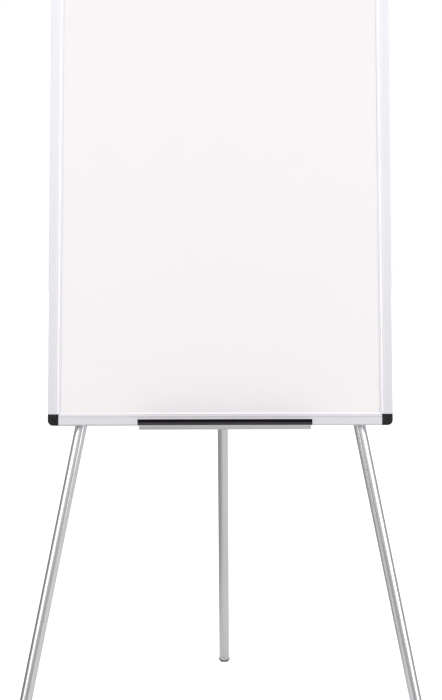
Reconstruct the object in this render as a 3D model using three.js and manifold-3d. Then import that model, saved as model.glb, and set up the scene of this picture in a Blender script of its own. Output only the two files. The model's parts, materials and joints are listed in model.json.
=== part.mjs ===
// A folding tripod flipchart easel: a framed white board with a pen tray and a sprung paper clamp, on three
// telescopic tube legs that hinge on a head plate behind the board.
//
// Millimetres and degrees, +Z up. The board faces -Y and leans back towards +Y. The floor is Z = 0 and the
// origin lies on it, in the middle of the box round the whole easel. Left and right are as seen from the
// front.
//
// Inside the board's group the origin is the middle of the board's bottom edge, X runs to the right, Y runs
// back through the board from its front face, and Z runs up its face. Inside a leg's group the origin is the
// leg's pivot and the tubes run down -Z.

import * as THREE from 'three';
import { mergeVertices } from 'three/addons/utils/BufferGeometryUtils.js';
import Module from 'manifold-3d';

const wasm = await Module();
wasm.setup();

// ---- Driving dimensions ----

const gap = 0.3;                        // clearance between pieces that touch
const degree = Math.PI / 180;

const boardWidth = 700;
const boardHeight = 1000;
const boardDepth = 18;
const boardLean = 10;                   // from upright
const boardBottom = 659;                // height of the bottom edge over the floor

const railFace = 21.5;                  // flat part of a rail's front, as wide as a corner cap
const railWidth = 25.6;                 // with the sloping lip that meets the writing sheet
const railWall = 1.6;
const grooveStart = 11;                 // how far in from the outer edge the panel's groove begins
const grooveFront = 2.9;
const grooveBack = 16.4;
const capRadius = 15;

const sheetThickness = 0.7;
const coreThickness = 11;
const backThickness = 0.6;

const trayLength = 346;
const trayOffset = 10;                  // the tray sits a little to the right of the middle
const trayWall = 1.5;
const trayFront = 44;                   // from the board's face to the tray's front wall
const trayDrop = 10.8;                  // from the board's bottom edge to the tray's underside
const trayLipTop = 5.3;                 // of the front wall, over the board's bottom edge
const trimLength = 351;
const trayScrewOut = 130;
const trayScrewUp = 5.5;

const beamHeight = 40;
const beamThickness = 6;
const upperBeamAt = 900;                // up the board, also the height of the leg pivots
const lowerBeamAt = 140;
const beamScrewOut = boardWidth / 2 - 5.5;

const plateThickness = 3;
const frontPivotOut = 110;              // from the middle of the board to each front pivot
const frontSplay = 11;                  // of each front leg, in the board's plane
const frontLegBack = 42;                // from the board's face to the front legs' axes
const rearPivotBack = 45.8;
const rearOpening = 36;                 // of the rear leg, from the board's plane

const upperOuter = 13.4;                // radii of the leg tubes
const upperInner = 12.4;
const lowerOuter = 12;
const lowerInner = 10.9;
const headLength = 34;                  // from the pivot to the top of the upper tube
const upperReach = 907;                 // from the pivot to the bottom of the clamp collar
const collarHeight = 50;
const collarRadius = 18;
const overlap = 280;                    // of the lower tube inside the upper one
const footRadius = 13.2;
const flangeHeight = 2;                 // of the foot, between the tube's rim and the dome

const clampLength = 640;
const hingeBack = 2;                    // the clamp's hinge rod, in the board's group
const hingeUp = 1009;
const rodRadius = 2.5;
const pegOut = 210;                     // from the middle to each pad peg
const pegUp = 985;
const clampScrewOut = 290;
const clampScrewBack = 12;

// ---- Materials ----

function finish(colour, roughness, metalness) {
    return new THREE.MeshStandardMaterial({ color: colour, roughness, metalness });
}

const satinAluminium = finish(0xd4d5d8, 0.38, 0.9);
const silverTube = finish(0xcfd0d3, 0.3, 0.95);
const zincSteel = finish(0xa9acb0, 0.35, 1);
const whiteEnamel = finish(0xf6f5f4, 0.25, 0);
const fibreboard = finish(0x9a7650, 0.85, 0);
const blackPlastic = finish(0x262628, 0.5, 0);
const glossPlastic = finish(0x1a1a1b, 0.25, 0);
const blackSteel = finish(0x202123, 0.45, 0.3);
const darkRubber = finish(0x3c3c3d, 0.8, 0);

// ---- Helpers ----

function add(parent, name, geometry, material, x = 0, y = 0, z = 0) {
    const mesh = new THREE.Mesh(geometry, material);
    mesh.name = name;
    mesh.position.set(x, y, z);
    parent.add(mesh);
    return mesh;
}

function addGroup(parent, x, y, z) {
    const group = new THREE.Group();
    group.position.set(x, y, z);
    parent.add(group);
    return group;
}

function toSolid(geometry) {
    const bare = geometry.clone();
    bare.deleteAttribute('normal');
    bare.deleteAttribute('uv');
    const merged = mergeVertices(bare);
    return new wasm.Manifold(new wasm.Mesh({
        numProp: 3,
        vertProperties: new Float32Array(merged.attributes.position.array),
        triVerts: new Uint32Array(merged.index.array),
    }));
}

function toGeometry(solid) {
    const mesh = solid.getMesh();
    const geometry = new THREE.BufferGeometry();
    geometry.setAttribute('position', new THREE.BufferAttribute(mesh.vertProperties, 3));
    geometry.setIndex(new THREE.BufferAttribute(mesh.triVerts, 1));
    geometry.computeVertexNormals();
    return geometry;
}

function join(...geometries) {
    return toGeometry(geometries.map(toSolid).reduce((whole, next) => whole.add(next)));
}

function cut(geometry, ...tools) {
    return toGeometry(tools.map(toSolid).reduce((whole, tool) => whole.subtract(tool), toSolid(geometry)));
}

function outlineShape(points) {
    return new THREE.Shape(points.map(([x, y]) => new THREE.Vector2(x, y)));
}

// A prism: the outline in X and Y, drawn out along +Z.
function prism(points, length, holePoints) {
    const shape = outlineShape(points);
    if (holePoints) {
        shape.holes.push(outlineShape(holePoints));
    }
    return new THREE.ExtrudeGeometry(shape, { depth: length, bevelEnabled: false });
}

// A prism along X, centred on X = 0, from an outline in Y and Z.
function prismAlongX(points, length) {
    return prism(points, length)
        .translate(0, 0, -length / 2)
        .rotateY(Math.PI / 2)
        .rotateX(Math.PI / 2);
}

// A round piece about Z, from an outline of radius and height. It starts and ends on the axis, or closes.
function turned(points, sides) {
    const profile = points.map(([radius, height]) => new THREE.Vector2(radius, height));
    const geometry = new THREE.LatheGeometry(profile, sides);
    geometry.rotateX(Math.PI / 2);
    return geometry;
}

function disc(radius, from, to, sides) {
    return turned([[0, from], [radius, from], [radius, to], [0, to]], sides);
}

function ring(outer, inner, from, to, sides) {
    return turned([[inner, from], [outer, from], [outer, to], [inner, to], [inner, from]], sides);
}

// Turns a piece made about Z so that its axis lies along Y, its top towards +Y.
function alongY(geometry) {
    return geometry.rotateX(-Math.PI / 2);
}

// Turns a piece made about Z so that its axis lies along X, its top towards +X.
function alongX(geometry) {
    return geometry.rotateY(Math.PI / 2);
}

function block(width, depth, height, x, y, z) {
    return new THREE.BoxGeometry(width, depth, height).translate(x, y, z);
}

function arc(centreX, centreY, radius, fromDegrees, toDegrees, steps) {
    const points = [];
    for (let step = 0; step <= steps; step += 1) {
        const angle = (fromDegrees + (toDegrees - fromDegrees) * step / steps) * degree;
        points.push([centreX + radius * Math.cos(angle), centreY + radius * Math.sin(angle)]);
    }
    return points;
}

// A rectangle with rounded corners, centred on the origin.
function roundedRectangle(width, height, radius, steps) {
    const x = width / 2 - radius;
    const y = height / 2 - radius;
    return [
        ...arc(x, y, radius, 0, 90, steps),
        ...arc(-x, y, radius, 90, 180, steps),
        ...arc(-x, -y, radius, 180, 270, steps),
        ...arc(x, -y, radius, 270, 360, steps),
    ];
}

// The outline of a bent sheet: the path of its middle, thickened to both sides, mitred at the bends.
function bentSheet(path, thickness) {
    const half = thickness / 2;
    const left = [];
    const right = [];
    path.forEach(([x, y], index) => {
        const before = path[Math.max(index - 1, 0)];
        const after = path[Math.min(index + 1, path.length - 1)];
        const inward = new THREE.Vector2(x - before[0], y - before[1]).normalize();
        const outward = new THREE.Vector2(after[0] - x, after[1] - y).normalize();
        const along = inward.clone().add(outward).normalize();
        const reach = half / Math.max(along.dot(inward), along.dot(outward));
        left.push([x - along.y * reach, y + along.x * reach]);
        right.push([x + along.y * reach, y - along.x * reach]);
    });
    return [...left, ...right.reverse()];
}

// ---- The board: rails, corner caps and the panel between them ----

// The hollow rail's section: X runs in from the board's outer edge and Y runs back from its face.
function railSection() {
    const face = 0.5;
    const ridge = 0.2;
    const groove = 1.3;
    const lipFront = 0.7;
    const lipBack = 1.7;
    return [
        [0, 2], [0.6, 0.9], [1.6, face], [13.6, face], [15.4, ridge], [17.4, ridge], [19.4, face],
        [20, groove], [20.9, groove], [railFace, lipFront], [railWidth, lipBack], [railWidth, grooveFront],
        [grooveStart, grooveFront], [grooveStart, grooveBack], [17, grooveBack], [17, boardDepth],
        [0.8, boardDepth], [0, boardDepth - 0.8],
    ];
}

function railChamber() {
    const near = grooveFront - 0.5;
    const far = grooveStart - railWall;
    return [[railWall, near], [far, near], [far, grooveBack], [railWall, grooveBack]];
}

// A rail between two corner caps. The lips of neighbouring rails meet on a mitre past the caps.
function railGeometry(fullLength) {
    const length = fullLength - 2 * (railFace + gap);
    const geometry = prism(railSection(), length, railChamber());
    const position = geometry.attributes.position;
    for (let index = 0; index < position.count; index += 1) {
        const pastCap = Math.max(0, position.getX(index) - railFace);
        const atStart = position.getZ(index) < length / 2;
        position.setZ(index, position.getZ(index) + (atStart ? pastCap : -pastCap));
    }
    return geometry;
}

// A hole for a screw whose axis is vertical, or one that runs back through the board.
function holeDown(radius, x, y, from, to) {
    return disc(radius, from, to, 12).translate(x, y, 0);
}

function holeBack(radius, x, z, from, to, sides = 12) {
    return alongY(disc(radius, from, to, sides)).translate(x, 0, z);
}

function addRails(board) {
    const across = railGeometry(boardWidth);
    const upright = railGeometry(boardHeight);
    const start = railFace + gap;
    const half = boardWidth / 2;
    const backHole = (x, z) => holeBack(2.6, x, z, grooveBack - 2, boardDepth + 2);
    const topHole = (x) => holeDown(2.2, x, clampScrewBack, boardHeight - 5, boardHeight + 5);
    const sides = [-1, 1];

    const left = upright.clone().translate(-half, 0, start);
    const right = upright.clone().rotateY(Math.PI).translate(half, 0, boardHeight - start);
    const top = across.clone().rotateY(Math.PI / 2).translate(-half + start, 0, boardHeight);
    const bottom = across.clone().rotateY(-Math.PI / 2).translate(half - start, 0, 0);
    const beams = [upperBeamAt, lowerBeamAt];
    add(board, 'rail_left', cut(left, ...beams.map((z) => backHole(-beamScrewOut, z))), satinAluminium);
    add(board, 'rail_right', cut(right, ...beams.map((z) => backHole(beamScrewOut, z))), satinAluminium);
    add(board, 'rail_top', cut(top, ...sides.map((side) => topHole(side * clampScrewOut))), satinAluminium);
    const trayHoles = sides.map((side) => backHole(trayOffset + side * trayScrewOut, trayScrewUp));
    add(board, 'rail_bottom', cut(bottom, ...trayHoles), satinAluminium);
}

// A corner cap with its outer corner at the origin: a rounded square block, cleared for the panel's corner,
// with a tongue into the chamber of each of its two rails.
function capGeometry() {
    const outline = [[railFace, 0], [railFace, railFace], [0, railFace]];
    const round = arc(capRadius, capRadius, capRadius, 180, 270, 6);
    const body = prism([...outline, ...round], boardDepth).rotateX(Math.PI / 2).translate(0, boardDepth, 0);
    const clearance = block(40, grooveBack - grooveFront, 40, grooveStart + 20,
        (grooveBack + grooveFront) / 2, grooveStart + 20);
    const tongueLength = 20;
    const tongueWidth = grooveStart - 2 * railWall - 2 * gap;
    const tongueDepth = grooveBack - grooveFront + 0.5 - 2 * gap;
    const across = grooveStart / 2;
    const middle = (grooveBack + grooveFront - 0.5) / 2;
    const along = railFace + tongueLength / 2 - 4;
    return join(
        cut(body, clearance),
        block(tongueWidth, tongueDepth, tongueLength, across, middle, along),
        block(tongueLength, tongueDepth, tongueWidth, along, middle, across),
    );
}

function addCaps(board) {
    const cap = capGeometry();
    const half = boardWidth / 2;
    const corners = [
        ['corner_cap_bottom_left', -half, 0, 0],
        ['corner_cap_top_left', -half, boardHeight, 90],
        ['corner_cap_top_right', half, boardHeight, 180],
        ['corner_cap_bottom_right', half, 0, -90],
    ];
    for (const [name, x, z, turn] of corners) {
        add(board, name, cap, blackPlastic, x, 0, z).rotation.y = turn * degree;
    }
}

// The panel: a white steel sheet, a fibreboard core and a back sheet, held in the rails' grooves.
function addPanel(board) {
    const inset = grooveStart + gap;
    const width = boardWidth - 2 * inset;
    const height = boardHeight - 2 * inset;
    const layers = [
        ['writing_sheet', sheetThickness, whiteEnamel],
        ['board_core', coreThickness, fibreboard],
        ['back_sheet', backThickness, zincSteel],
    ];
    let front = grooveFront + gap;
    for (const [name, thickness, material] of layers) {
        const sheet = block(width, thickness, height, 0, thickness / 2, boardHeight / 2);
        add(board, name, sheet, material, 0, front, 0);
        front += thickness + gap;
    }
}

// A pan head screw whose head rests on the plane Y = 0 and whose shank points to -Y.
function screwGeometry(headRadius, headHeight, shankRadius, shankLength) {
    return alongY(turned([
        [0, -shankLength], [shankRadius, -shankLength], [shankRadius, 0], [headRadius, 0],
        [headRadius, headHeight * 0.5], [headRadius * 0.7, headHeight], [0, headHeight],
    ], 12));
}

// ---- The pen tray under the bottom rail ----

function addTray(board) {
    const wall = trayWall / 2;
    const rearWall = boardDepth + 2 * gap + wall;
    const shelf = -gap - wall;
    const floor = -trayDrop + wall;
    const path = [
        [rearWall, 14], [rearWall, shelf], [-3, shelf], [-7.5, floor], [-trayFront + 7, floor],
        [-trayFront + 2, floor + 2], [-trayFront, floor + 6], [-trayFront, trayLipTop],
    ];
    const holes = [-trayScrewOut, trayScrewOut].map((x) => holeBack(2.6, x, trayScrewUp, 10, 30));
    const trough = cut(prismAlongX(bentSheet(path, trayWall), trayLength), ...holes);
    add(board, 'tray_trough', trough, satinAluminium, trayOffset, 0, 0);

    const inner = -trayFront + wall + gap;
    const outer = -trayFront - wall - gap;
    const seatUp = trayLipTop + gap;
    const trim = [
        [outer, -10.9], [outer - 1.3, -10.2], [outer - 3, -5.4], [outer - 3, -1.1], [outer - 2.2, 0.5],
        [outer - 0.8, 1.2], [inner + 0.6, 1.2], [inner + 1.5, 0.5], [inner + 1.5, -5.5], [inner, -5.5],
        [inner, 0], [outer, 0],
    ];
    add(board, 'tray_lip_trim', prismAlongX(trim, trimLength), glossPlastic, trayOffset, 0, seatUp);

    const screw = screwGeometry(4, 2.4, 2, 7);
    const seat = rearWall + wall + gap;
    add(board, 'tray_screw_left', screw, zincSteel, trayOffset - trayScrewOut, seat, trayScrewUp);
    add(board, 'tray_screw_right', screw, zincSteel, trayOffset + trayScrewOut, seat, trayScrewUp);
}

// ---- Cross beams behind the board ----

const beamBack = boardDepth + gap + beamThickness;

function addBeams(board) {
    const beamLength = boardWidth - 2;
    const screw = screwGeometry(4.2, 2.6, 2.2, 11);
    const outline = roundedRectangle(beamLength, beamHeight, 5, 3);
    const bar = prism(outline, beamThickness).rotateX(Math.PI / 2).translate(0, beamBack, 0);
    const screwHoles = [-1, 1].map((side) => holeBack(2.8, side * beamScrewOut, 0, 0, 40));
    const pivotHoles = [-1, 1].map((side) => holeBack(4.4, side * frontPivotOut, 0, 0, 40, 16));
    add(board, 'beam_upper', cut(bar, ...screwHoles, ...pivotHoles), satinAluminium, 0, 0, upperBeamAt);
    add(board, 'beam_lower', cut(bar, ...screwHoles), satinAluminium, 0, 0, lowerBeamAt);
    for (const [level, height] of [['upper', upperBeamAt], ['lower', lowerBeamAt]]) {
        add(board, `beam_screw_${level}_left`, screw, zincSteel, -beamScrewOut, beamBack + gap, height);
        add(board, `beam_screw_${level}_right`, screw, zincSteel, beamScrewOut, beamBack + gap, height);
    }
}

// ---- The tripod head and the pivots ----

const plateBack = beamBack + gap + plateThickness;
const headHalf = 14;                    // half the width of a front leg head
const rearHeadHalf = 14.5;

// The head plate: a flat plate with stop lugs beside each front leg head and two ears for the rear pivot.
function headPlateGeometry() {
    const plate = prism(roundedRectangle(300, 84, 12, 4), plateThickness)
        .rotateX(Math.PI / 2)
        .translate(0, plateBack, -2);
    const lugDepth = 12;
    const lugWidth = 5;
    const lugHeight = 16;
    const lugDown = 24;
    const lugMiddle = plateBack + lugDepth / 2 - 0.5;
    const lugOut = headHalf + gap + lugWidth / 2;
    const lugs = [];
    for (const side of [-1, 1]) {
        const outer = block(lugWidth, lugDepth, lugHeight, side * lugOut, 0, -lugDown);
        outer.rotateY(-side * frontSplay * degree).translate(side * frontPivotOut, lugMiddle, 0);
        const inner = block(lugWidth, lugDepth, lugHeight, -side * lugOut, 0, -lugDown);
        inner.translate(side * frontPivotOut, lugMiddle, 0);
        lugs.push(outer, inner);
    }
    const earThickness = 4;
    const earOut = rearHeadHalf + 0.5 + earThickness / 2;
    const earRadius = 13;
    const earOutline = [
        [plateBack - 0.5, -20], [rearPivotBack, -earRadius],
        ...arc(rearPivotBack, 0, earRadius, -90, 90, 8),
        [plateBack - 0.5, 20],
    ];
    const ears = [-1, 1].map((side) => prismAlongX(earOutline, earThickness).translate(side * earOut, 0, 0));
    const pivotHoles = [-1, 1].map((side) => holeBack(4.4, side * frontPivotOut, 0, 0, 60, 16));
    const pinHole = alongX(disc(4.4, -40, 40, 16)).translate(0, rearPivotBack, 0);
    return cut(join(plate, ...lugs, ...ears), ...pivotHoles, pinHole);
}

const frontHeadBack = 12;               // from a front leg's axis to the back of its head

function addTripodHead(board) {
    add(board, 'head_plate', headPlateGeometry(), blackSteel, 0, 0, upperBeamAt);

    const boltSeat = frontLegBack + frontHeadBack + gap;
    const shank = boltSeat - boardDepth - 2 * gap;
    const bolt = screwGeometry(9, 5, 4, shank);
    add(board, 'front_pivot_bolt_left', bolt, zincSteel, -frontPivotOut, boltSeat, upperBeamAt);
    add(board, 'front_pivot_bolt_right', bolt, zincSteel, frontPivotOut, boltSeat, upperBeamAt);

    const pinReach = rearHeadHalf + 0.5 + 4 + gap;
    const pin = alongX(turned([
        [0, -pinReach - 3], [5, -pinReach - 3], [6.5, -pinReach - 2], [6.5, -pinReach], [4, -pinReach],
        [4, pinReach], [6.5, pinReach], [6.5, pinReach + 2], [5, pinReach + 3], [0, pinReach + 3],
    ], 16));
    add(board, 'rear_pivot_pin', pin, zincSteel, 0, rearPivotBack, upperBeamAt);
}

// A rest on the lower beam that holds a splayed front leg. It wraps round the tube and is open towards the
// middle, so that the leg can fold inwards.
function legRestGeometry(side) {
    const hold = upperOuter + 0.5;
    const seat = beamBack + gap - frontLegBack;
    const outside = hold + 4;
    const outline = [
        [-8, seat], [outside, seat], [outside, 5], ...arc(5, 5, outside - 5, 0, 90, 4), [-2, outside],
        [-2, hold], ...arc(0, 0, hold, 90, -90, 12), [-8, -hold],
    ];
    const height = 26;
    return prism(outline.map(([x, y]) => [side * x, y]), height).translate(0, 0, -height / 2);
}

function addLegRests(board) {
    const down = upperBeamAt - lowerBeamAt;
    const out = frontPivotOut + down * Math.tan(frontSplay * degree);
    for (const [name, side] of [['leg_rest_left', -1], ['leg_rest_right', 1]]) {
        const geometry = legRestGeometry(side);
        const rest = add(board, name, geometry, blackPlastic, side * out, frontLegBack, lowerBeamAt);
        rest.rotation.y = -side * frontSplay * degree;
    }
}

// ---- The paper clamp along the top rail ----

const clampPlateFront = -11;
const clampPlateBack = -9;
const knuckleLength = 80;
const baseBarrelLength = 400;

function springGeometry() {
    const turns = 4;
    const stepsPerTurn = 10;
    const radius = 4;
    const wire = 0.8;
    const length = 20;
    const steps = turns * stepsPerTurn;
    const points = [];
    for (let step = 0; step <= steps; step += 1) {
        const angle = step / stepsPerTurn * 2 * Math.PI;
        const along = length * (step / steps - 0.5);
        points.push(new THREE.Vector3(along, radius * Math.cos(angle), radius * Math.sin(angle)));
    }
    const section = outlineShape(arc(0, 0, wire, 0, 288, 4));
    return new THREE.ExtrudeGeometry(section, {
        steps,
        bevelEnabled: false,
        extrudePath: new THREE.CatmullRomCurve3(points),
    });
}

// The fixed half: a strip on the top rail with a long hinge barrel in the middle of its front edge.
function addClampBase(board) {
    const under = boardHeight + gap;
    const stripTop = under + 3;
    const strip = prismAlongX([[0, under], [17.5, under], [17.5, stripTop], [0, stripTop]], clampLength);
    const barrel = alongX(disc(5, -baseBarrelLength / 2, baseBarrelLength / 2, 16));
    barrel.translate(0, hingeBack, hingeUp);
    const web = prismAlongX([[1, under + 1], [7, under + 1], [7, hingeUp], [1, hingeUp]], baseBarrelLength);
    const bore = alongX(disc(rodRadius + gap, -clampLength, clampLength, 16));
    bore.translate(0, hingeBack, hingeUp);
    const screwHole = (x) => holeDown(2.4, x, clampScrewBack, under - 5, stripTop + 5);
    const holes = [-clampScrewOut, clampScrewOut].map(screwHole);
    add(board, 'clamp_base', cut(join(strip, barrel, web), bore, ...holes), satinAluminium);

    const screw = screwGeometry(3.8, 2.2, 1.8, 9).rotateX(Math.PI / 2);
    add(board, 'clamp_screw_left', screw, zincSteel, -clampScrewOut, clampScrewBack, stripTop + gap);
    add(board, 'clamp_screw_right', screw, zincSteel, clampScrewOut, clampScrewBack, stripTop + gap);

    const rod = alongX(disc(rodRadius, -clampLength / 2 + 1, clampLength / 2 - 1, 16));
    add(board, 'clamp_rod', rod, zincSteel, 0, hingeBack, hingeUp);
    const spring = springGeometry();
    const springOut = (baseBarrelLength / 2 + clampLength / 2 - knuckleLength) / 2;
    add(board, 'clamp_spring_left', spring, zincSteel, -springOut, hingeBack, hingeUp);
    add(board, 'clamp_spring_right', spring, zincSteel, springOut, hingeBack, hingeUp);
}

function slotOutline(fromX, toX, radius) {
    return [...arc(fromX, 0, radius, 90, 270, 6), ...arc(toX, 0, radius, -90, 90, 6)];
}

// The moving half: a bent bar with a knuckle at each end, a slot for each pad peg and a rubber grip strip.
// Its origin is on the hinge rod.
function addClampBar(clamp) {
    const front = clampPlateFront - hingeBack;
    const back = clampPlateBack - hingeBack;
    const middle = (front + back) / 2;
    const toe = 955 - hingeUp;
    const plate = prismAlongX(bentSheet([
        [-5.4, 3.4], [middle + 3, 2.4], [middle, -0.6], [middle, toe + 6], [middle + 3.4, toe],
    ], clampPlateBack - clampPlateFront), clampLength);
    const knuckleOut = (clampLength - knuckleLength) / 2;
    const knuckles = [-1, 1].map((side) => join(
        alongX(disc(5, -knuckleLength / 2, knuckleLength / 2, 16)),
        prismAlongX([[-8, 1.8], [-3, 1.8], [-3, 4.2], [-8, 4.2]], knuckleLength),
    ).translate(side * knuckleOut, 0, 0));
    const bore = alongX(disc(rodRadius + gap, -clampLength, clampLength, 16));
    const slot = prism(slotOutline(-55, 40, 3.4), 20).rotateX(Math.PI / 2).translate(0, 0, pegUp - hingeUp);
    const slots = [
        slot.clone().translate(pegOut, middle / 2, 0),
        slot.clone().rotateZ(Math.PI).translate(-pegOut, middle * 1.5, 0),
    ];
    const solidKnuckles = knuckles.map((knuckle) => cut(knuckle, bore));
    const bar = cut(join(plate, ...solidKnuckles), ...slots);
    add(clamp, 'clamp_bar', bar, satinAluminium);

    const sheetFront = grooveFront + gap - hingeBack;
    const toeBack = middle + 3.4 + 1.4;
    const grip = prismAlongX([
        [toeBack, toe - 4], [sheetFront - 1.2, toe - 4], [sheetFront - gap, toe - 2.6],
        [sheetFront - gap, toe + 2.2], [sheetFront - 1.2, toe + 3.6], [toeBack, toe + 3.6],
    ], clampLength - 4);
    add(clamp, 'clamp_grip', grip, darkRubber);
}

// A lobed knob about Z, from height 0 up.
function lobedKnob(radius, height, lobes, depth, stepsPerLobe) {
    const outline = [];
    const steps = lobes * stepsPerLobe;
    for (let step = 0; step < steps; step += 1) {
        const angle = step / steps * 2 * Math.PI;
        const reach = radius - depth * (0.5 - 0.5 * Math.cos(lobes * angle));
        outline.push([reach * Math.cos(angle), reach * Math.sin(angle)]);
    }
    const bevel = 1.2;
    return new THREE.ExtrudeGeometry(outlineShape(outline), {
        depth: height - 2 * bevel,
        bevelEnabled: true,
        bevelThickness: bevel,
        bevelSize: bevel,
        bevelOffset: -bevel,
        bevelSegments: 1,
        curveSegments: 1,
    }).translate(0, 0, bevel);
}

// A pad peg: a threaded stud through the bar's slot, with a flange and a short peg behind the bar and a
// round knob on the stud in front of it.
function addPadPeg(clamp, side, name) {
    const peg = addGroup(clamp, side * pegOut, -hingeBack, pegUp - hingeUp);
    const tailEnd = -1;
    const flangeFront = clampPlateBack + gap;
    const flangeBack = flangeFront + 1.6;
    const studEnd = -22;
    const stud = alongY(turned([
        [0, studEnd], [3, studEnd], [3, flangeFront], [6.5, flangeFront], [6.5, flangeBack],
        [4, flangeBack], [4, tailEnd - 1], [3, tailEnd], [0, tailEnd],
    ], 16));
    add(peg, `pad_peg_${name}`, stud, zincSteel);

    const knobHeight = 13;
    const body = lobedKnob(11, knobHeight, 8, 1, 4);
    const bore = disc(3.3, -1, -studEnd + clampPlateFront, 16);
    const knob = cut(body, bore).rotateX(Math.PI / 2);
    add(peg, `pad_peg_knob_${name}`, knob, blackPlastic, 0, clampPlateFront - gap, 0);
}

function addClamp(board) {
    addClampBase(board);
    const clamp = addGroup(board, 0, hingeBack, hingeUp);
    addClampBar(clamp);
    addPadPeg(clamp, -1, 'left');
    addPadPeg(clamp, 1, 'right');
}

// ---- Telescopic legs ----

// The head of a front leg: a rounded block on the pivot with a plug into the upper tube.
function frontHeadGeometry() {
    const front = plateBack + gap - frontLegBack;
    const depth = frontHeadBack - front;
    const outline = [...arc(0, 0, headHalf, 0, 180, 12), [-headHalf, -headLength], [headHalf, -headLength]];
    const body = prism(outline, depth).rotateX(Math.PI / 2).translate(0, frontHeadBack, 0);
    const plug = disc(upperInner - gap - 0.1, -headLength - 26, -headLength + 2, 20);
    return cut(join(body, plug), alongY(disc(4.4, -40, 40, 16)));
}

// The head of the rear leg: a block between the plate's ears. Its upper front corner meets the plate when
// the leg is fully open.
function rearHeadGeometry() {
    const depthHalf = 12.6;
    const heelUp = 14;
    const outline = [
        [-depthHalf, -headLength], [depthHalf, -headLength], ...arc(0, 0, depthHalf, 0, 60, 5),
        [-4, heelUp], [-depthHalf, heelUp - 1.2],
    ];
    const body = prismAlongX(outline, 2 * rearHeadHalf);
    const plug = disc(upperInner - gap - 0.1, -headLength - 26, -headLength + 2, 20);
    return cut(join(body, plug), alongX(disc(4.4, -40, 40, 16)));
}

// The clamp collar at the foot of the upper tube, with a boss behind it for the knob's stud.
function collarGeometry() {
    const bottom = -upperReach;
    const top = bottom + collarHeight;
    const step = bottom + 6;
    const wide = upperOuter + gap;
    const narrow = lowerOuter + gap;
    const body = turned([
        [narrow, bottom], [collarRadius - 1.5, bottom], [collarRadius, bottom + 1.5],
        [collarRadius, top - 3], [collarRadius - 2, top], [wide, top], [wide, step], [narrow, step],
        [narrow, bottom],
    ], 20);
    const middle = bottom + collarHeight / 2;
    const bossTip = 24;
    const boss = alongY(disc(10, 14, bossTip, 16)).translate(0, 0, middle);
    const clearance = disc(wide, step, top, 20);
    const studHole = alongY(disc(4.4, 5, 40, 16)).translate(0, 0, middle);
    return cut(join(body, boss), clearance, studHole);
}

// The clamp knob with its stud, about Y: the stud presses on the lower tube through the upper tube's wall.
function clampKnobGeometry() {
    const studStart = lowerOuter + 0.5;
    const hubStart = 24.6;
    const bodyStart = 27;
    const stud = disc(4, studStart, bodyStart + 2, 16);
    const hub = disc(8, hubStart, bodyStart + 2, 16);
    const body = lobedKnob(17, 15, 6, 3, 6).translate(0, 0, bodyStart);
    return alongY(join(stud, hub, body));
}

// A foot: a plug in the lower tube, a flange as wide as the tube's rim and a dome that the floor flattens.
// It is made in the leg's own axes, then cut by the floor, so it hangs in the easel and not in the leg.
function footGeometry(leg, flangeAt) {
    const domeHeight = 8;
    const plug = lowerInner - gap - 0.1;
    const profile = [[0, flangeAt + 22], [plug, flangeAt + 22], [plug, flangeAt + flangeHeight]];
    profile.push([footRadius - 0.6, flangeAt + flangeHeight], [footRadius, flangeAt + flangeHeight - 0.8]);
    const sphere = (footRadius ** 2 + domeHeight ** 2) / (2 * domeHeight);
    const centre = flangeAt - domeHeight + sphere;
    const widest = Math.asin(footRadius / sphere);
    const rows = 4;
    for (let row = 0; row <= rows; row += 1) {
        const angle = widest * (1 - row / rows);
        profile.push([sphere * Math.sin(angle), centre - sphere * Math.cos(angle)]);
    }
    const foot = turned(profile.reverse(), 16);
    leg.updateWorldMatrix(true, false);
    foot.applyMatrix4(leg.matrixWorld);
    const where = new THREE.Vector3().setFromMatrixPosition(leg.matrixWorld);
    const floor = block(4000, 4000, 100, where.x, where.y, -50);
    return cut(foot, floor);
}

// One leg below its head: the upper tube with its collar and knob, and the lower tube with its glide and
// foot.
function addTubes(easel, leg, name) {
    leg.updateWorldMatrix(true, false);
    const down = new THREE.Vector3(0, 0, -1).transformDirection(leg.matrixWorld);
    const pivot = new THREE.Vector3().setFromMatrixPosition(leg.matrixWorld);
    const length = pivot.z / -down.z;
    const tilt = Math.acos(-down.z);
    const knobAt = -upperReach + collarHeight / 2;

    const tubeTop = -headLength - gap;
    const tubeEnd = -upperReach + 6 + gap;
    const studHole = alongY(disc(4.6, 5, 30, 16)).translate(0, 0, knobAt);
    const upperTube = cut(ring(upperOuter, upperInner, tubeEnd, tubeTop, 20), studHole);
    add(leg, `${name}_upper_tube`, upperTube, silverTube);
    add(leg, `${name}_collar`, collarGeometry(), blackPlastic);
    add(leg, `${name}_clamp_knob`, clampKnobGeometry(), blackPlastic, 0, 0, knobAt);

    const flangeBottom = -length + footRadius * Math.tan(tilt) + 0.8;
    const lowerTop = -upperReach + overlap;
    const lowerTube = ring(lowerOuter, lowerInner, flangeBottom + flangeHeight + gap, lowerTop, 20);
    add(leg, `${name}_lower_tube`, lowerTube, silverTube);
    const glideStem = lowerInner - gap - 0.1;
    const glideRing = upperInner - gap;
    const glide = turned([
        [0, lowerTop - 18], [glideStem, lowerTop - 18], [glideStem, lowerTop + gap],
        [glideRing, lowerTop + gap], [glideRing, lowerTop + 11], [glideRing - 0.8, lowerTop + 12],
        [0, lowerTop + 12],
    ], 20);
    add(leg, `${name}_glide`, glide, blackPlastic);
    add(easel, `${name}_foot`, footGeometry(leg, flangeBottom), darkRubber);
}

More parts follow.
